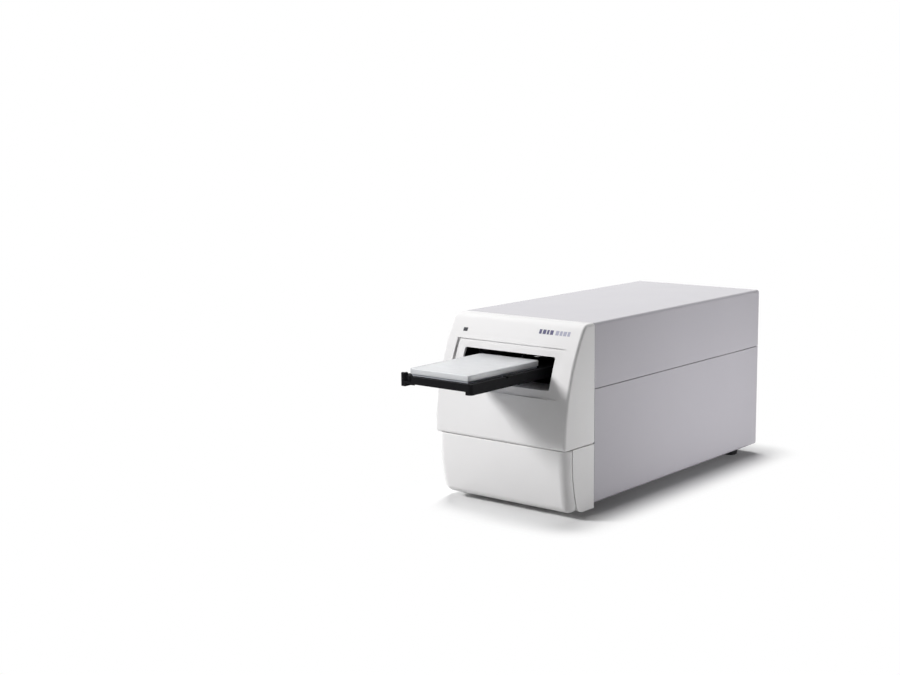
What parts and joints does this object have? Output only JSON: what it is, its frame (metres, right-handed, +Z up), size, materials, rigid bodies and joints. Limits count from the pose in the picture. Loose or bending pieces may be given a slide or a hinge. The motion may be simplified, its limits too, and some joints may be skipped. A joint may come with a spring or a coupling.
{
  "type": "microplate reader",
  "caption": "Bench microplate reader: grey screwed housing, curved white front and a black plate carrier that drives out through the front slot.",
  "frame": {"origin": "on the bench under the middle of the whole instrument, carrier out", "axes": "+X to the right as seen from the front, the side that the picture shows; -Y the front with the slot; +Z up"},
  "size_m": [0.19, 0.564, 0.2225],
  "materials": {
    "front_plastic": "fine moulded satin white",
    "cover_paint": "satin light grey paint",
    "black_plastic": "matte black",
    "black_gloss": "gloss black",
    "plated_steel": "zinc plated",
    "ground_steel": "ground",
    "aluminium": "milled, clear anodised",
    "black_aluminium": "black anodised",
    "rubber": "matte",
    "belt_rubber": "matte",
    "bronze": "sintered",
    "smoked_lens": "smoked",
    "plate_plastic": "clear polystyrene, seen milky",
    "lid_plastic": "clear polystyrene, seen milky",
    "optic_glass": "polished",
    "filter_glass": "coated",
    "circuit_board": "solder mask",
    "guide_sheath": "ribbed sheath"
  },
  "bodies": {
    "base": {"front_fascia": "front_plastic", "front_lower_panel": "front_plastic", "upper_cover": "cover_paint", "lower_cover": "cover_paint", "rear_panel": "cover_paint", "base_plate": "plated_steel", "rubber_feet": "rubber", "foot_screws": "plated_steel", "cover_screws": "plated_steel", "status_led": "smoked_lens", "plate_tunnel": "black_plastic", "guide_rods": "ground_steel", "rod_blocks": "black_aluminium", "transport_deck": "black_aluminium", "deck_legs": "plated_steel", "deck_screws": "plated_steel", "transport_belt": "belt_rubber", "idler_pin": "ground_steel", "transport_motor": "black_aluminium", "home_sensor": "black_plastic", "lower_optics_bar": "black_aluminium", "beam_lenses": "optic_glass", "upper_optics_bar": "black_aluminium", "optics_bridge": "black_aluminium", "detector_board": "circuit_board", "light_guide": "guide_sheath", "lamp_housing": "black_aluminium", "halogen_lamp": "optic_glass", "condenser_lens": "optic_glass", "filter_motor": "black_aluminium", "filter_bracket": "plated_steel", "main_board": "circuit_board", "board_standoffs": "plated_steel", "power_supply": "aluminium", "fan_frame": "black_plastic", "fan_guard": "plated_steel", "power_inlet": "black_gloss", "fuse_drawer": "black_gloss", "switch_bezel": "black_gloss", "data_connector": "plated_steel"},
    "plate_transport": {"plate_carrier": "black_plastic", "carrier_sledge": "black_aluminium", "bushings": "bronze", "belt_clamp": "aluminium", "sensor_flag": "black_plastic", "carrier_screws": "plated_steel", "lever_pin": "ground_steel", "clamp_spring": "ground_steel", "microplate": "plate_plastic", "microplate_lid": "lid_plastic"},
    "plate_clamp": {"clamp_lever": "black_plastic"},
    "drive_pulley": {"drive_pulley": "aluminium", "motor_shaft": "ground_steel"},
    "idler_pulley": {"idler_pulley": "aluminium"},
    "filter_wheel": {"filter_wheel": "black_aluminium", "optical_filters": "filter_glass"},
    "fan_rotor": {"fan_rotor": "black_plastic"},
    "power_switch": {"switch_rocker": "black_gloss"}
  },
  "joints": [
    {"name": "plate_transport_slide", "type": "slide", "parent": "base", "child": "plate_transport", "axis": [0, 1, 0], "range_m": [0, 0.23]},
    {"name": "plate_clamp_pivot", "type": "hinge", "parent": "plate_transport", "child": "plate_clamp", "pos_m": [-0.0471, -0.2781, 0.168], "axis": [0, 0, -1], "range_deg": [0, 15], "stiffness_Nm_per_rad": 0.05, "springref_deg": -20.05},
    {"name": "drive_pulley_spin", "type": "hinge", "parent": "base", "child": "drive_pulley", "pos_m": [0.073, 0.178, 0.1505], "axis": [0, 0, 1], "range_deg": [-1382, 0]},
    {"name": "idler_pulley_spin", "type": "hinge", "parent": "base", "child": "idler_pulley", "pos_m": [0.073, -0.098, 0.1505], "axis": [0, 0, 1], "range_deg": [-1382, 0]},
    {"name": "filter_wheel_spin", "type": "hinge", "parent": "base", "child": "filter_wheel", "pos_m": [0.026, 0.056, 0.06], "axis": [0, 1, 0], "continuous": true},
    {"name": "fan_spin", "type": "hinge", "parent": "base", "child": "fan_rotor", "pos_m": [-0.042, 0.268, 0.092], "axis": [0, 1, 0], "continuous": true},
    {"name": "power_switch_rock", "type": "hinge", "parent": "base", "child": "power_switch", "pos_m": [0.045, 0.2765, 0.088], "axis": [1, 0, 0], "range_deg": [0, 22]}
  ],
  "couplings": [
    {"joint": "drive_pulley_spin", "follows": "plate_transport_slide", "rad_per_m": -104.72},
    {"joint": "idler_pulley_spin", "follows": "plate_transport_slide", "rad_per_m": -104.72}
  ]
}
